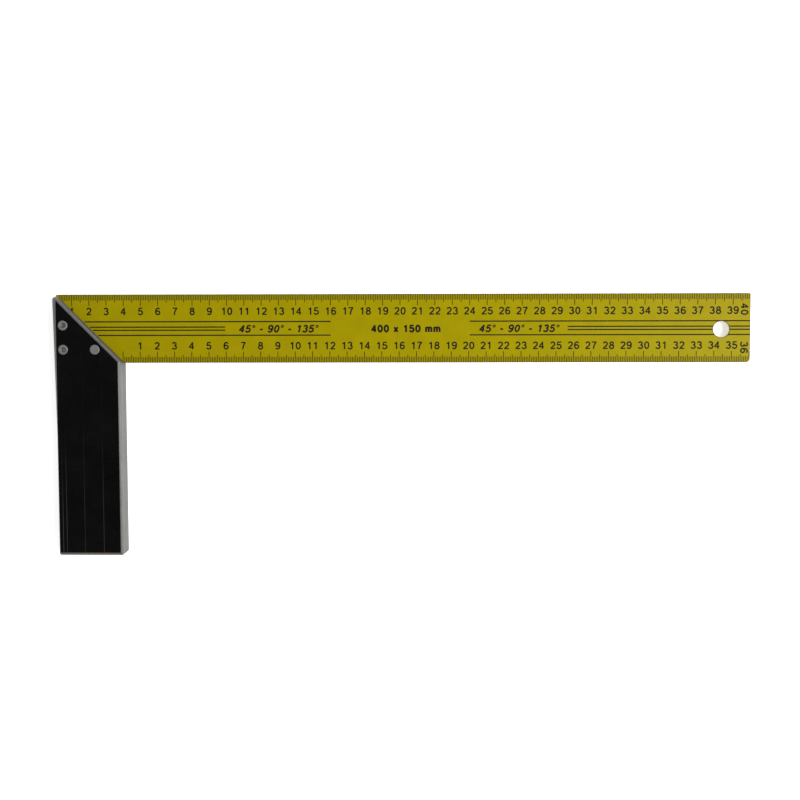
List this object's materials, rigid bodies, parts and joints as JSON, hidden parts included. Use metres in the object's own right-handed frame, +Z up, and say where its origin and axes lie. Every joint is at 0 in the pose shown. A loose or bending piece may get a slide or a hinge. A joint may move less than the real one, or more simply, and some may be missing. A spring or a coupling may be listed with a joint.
{
  "type": "try and mitre square",
  "caption": "L-shaped carpenter's square: a thin printed steel rule blade riveted into the slot of a black aluminium stock with a 45 degree shoulder.",
  "frame": {"origin": "on the resting plane, under the middle of the square's bounding box", "axes": "+X along the blade from the stock to the tip, +Y from the stock's foot to the blade's outer edge, +Z up out of the broad faces"},
  "size_m": [0.3996, 0.151, 0.015],
  "materials": {
    "blade_lacquer": "yellow lacquered steel with black printed millimetre scales",
    "stock_aluminium": "black anodised broad faces, bare machined edges and mitre",
    "rivet_aluminium": "bare, ground flush"
  },
  "bodies": {
    "root": {"stock": "stock_aluminium", "blade": "blade_lacquer", "rivet_heel": "rivet_aluminium", "rivet_outer": "rivet_aluminium", "rivet_inner": "rivet_aluminium"}
  },
  "joints": []
}
